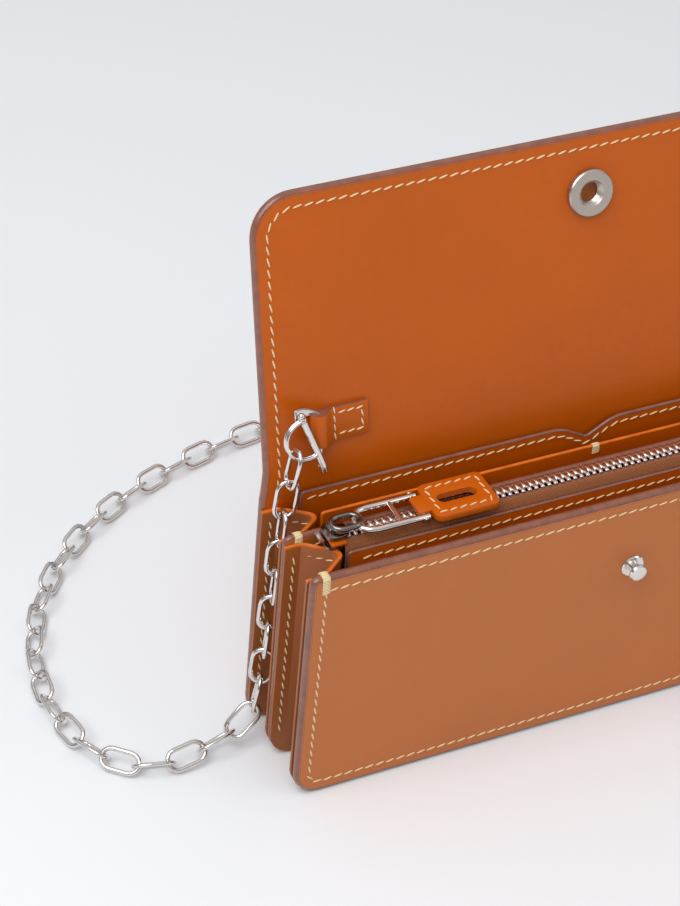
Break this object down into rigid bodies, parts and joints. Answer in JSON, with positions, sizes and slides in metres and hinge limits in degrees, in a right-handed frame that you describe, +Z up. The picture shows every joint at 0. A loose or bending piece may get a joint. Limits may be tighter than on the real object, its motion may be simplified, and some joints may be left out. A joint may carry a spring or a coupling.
{
  "type": "chain wallet",
  "caption": "Long leather wallet with a fold-over snap flap, an accordion body, a zip pocket, slip pockets and a metal link chain.",
  "frame": {"origin": "on the supporting surface, at the middle of the middle board's bottom edge", "axes": "+X across the width, -Y towards the front board, +Z up"},
  "size_m": [0.2973, 0.1617, 0.1643],
  "materials": {
    "tan_leather": "smooth vegetable-tanned leather",
    "gusset_leather": "thin tan leather with painted orange edge",
    "orange_lining": "smooth orange calf lining, satin",
    "board_core": "bonded leather board",
    "zip_tape": "herringbone woven tape",
    "zip_metal": "polished nickel plate",
    "slider_metal": "polished gunmetal plate",
    "silver_metal": "polished nickel plate",
    "satin_metal": "satin nickel plate"
  },
  "bodies": {
    "back": {"back_leather": "tan_leather", "back_stiffener": "board_core", "back_lining": "orange_lining", "back_slip_pocket": "orange_lining", "card_partition": "orange_lining", "rear_gusset": "gusset_leather", "chain_left_drop": "silver_metal", "chain_floor": "silver_metal", "chain_right_drop": "silver_metal"},
    "flap_bridge": {"flap_bridge_leather": "tan_leather", "flap_bridge_lining": "orange_lining", "chain_tab_left": "orange_lining", "chain_tab_right": "orange_lining"},
    "flap_front": {"flap_leather": "tan_leather", "flap_stiffener": "board_core", "flap_lining": "orange_lining", "snap_socket": "satin_metal"},
    "middle": {"middle_board": "tan_leather", "zip_pocket_wall": "orange_lining", "zip_tape_rear": "zip_tape", "zip_tape_front": "zip_tape", "zip_teeth_rear": "zip_metal", "zip_teeth_front": "zip_metal", "zip_closed_stop": "zip_metal", "zip_open_stop": "zip_metal", "front_gusset": "gusset_leather"},
    "front": {"front_leather": "tan_leather", "front_stiffener": "board_core", "front_lining": "orange_lining", "snap_stud": "silver_metal", "snap_stud_base": "silver_metal", "snap_stud_rivet": "silver_metal"},
    "slider": {"zip_slider": "slider_metal", "slider_bridge": "slider_metal"},
    "pull_frame": {"pull_frame": "silver_metal", "pull_pin": "silver_metal"},
    "leather_pull": {"leather_pull": "orange_lining"},
    "clasp_left": {"stirrup_left": "silver_metal", "clasp_left": "silver_metal"},
    "clasp_right": {"stirrup_right": "silver_metal", "clasp_right": "silver_metal"}
  },
  "joints": [
    {"name": "flap_rear_fold", "type": "hinge", "parent": "back", "child": "flap_bridge", "pos_m": [0, 0.0162, 0.086], "axis": [1, 0, 0], "range_deg": [0, 103], "deforming": ["chain_left_drop", "chain_right_drop", "chain_tab_left", "chain_tab_right", "stirrup_left", "stirrup_right", "clasp_left", "clasp_right"]},
    {"name": "flap_front_fold", "type": "hinge", "parent": "flap_bridge", "child": "flap_front", "pos_m": [0, 0.02333, 0.11689], "axis": [1, 0, 0], "range_deg": [0, 90.01]},
    {"name": "middle_shift", "type": "slide", "parent": "back", "child": "middle", "axis": [0, 1, 0], "range_m": [0, 0.00241], "deforming": ["rear_gusset"]},
    {"name": "front_shift", "type": "slide", "parent": "middle", "child": "front", "axis": [0, 1, 0], "range_m": [0, 0.00521], "deforming": ["front_gusset"]},
    {"name": "zip_slide", "type": "slide", "parent": "middle", "child": "slider", "axis": [1, 0, 0], "range_m": [0, 0.155]},
    {"name": "pull_flip", "type": "hinge", "parent": "slider", "child": "pull_frame", "pos_m": [-0.08, -0.0042, 0.08195], "axis": [0, -1, 0], "range_deg": [0, 180]},
    {"name": "leather_pull_fold", "type": "hinge", "parent": "pull_frame", "child": "leather_pull", "pos_m": [-0.0612, -0.0042, 0.08195], "axis": [0, 1, 0], "range_deg": [-90, 0]},
    {"name": "clasp_left_swing", "type": "hinge", "parent": "flap_bridge", "child": "clasp_left", "pos_m": [-0.0825, 0.01416, 0.09673], "axis": [0, 0.225, 0.9744], "range_deg": [-10, 10]},
    {"name": "clasp_right_swing", "type": "hinge", "parent": "flap_bridge", "child": "clasp_right", "pos_m": [0.0825, 0.01416, 0.09673], "axis": [0, 0.225, 0.9744], "range_deg": [-10, 10]}
  ],
  "couplings": [
    {"joint": "flap_front_fold", "follows": "flap_rear_fold", "ratio": 0.87379},
    {"joint": "middle_shift", "follows": "flap_rear_fold", "m_per_rad": 0.001335},
    {"joint": "front_shift", "follows": "flap_rear_fold", "m_per_rad": 0.0028926}
  ]
}
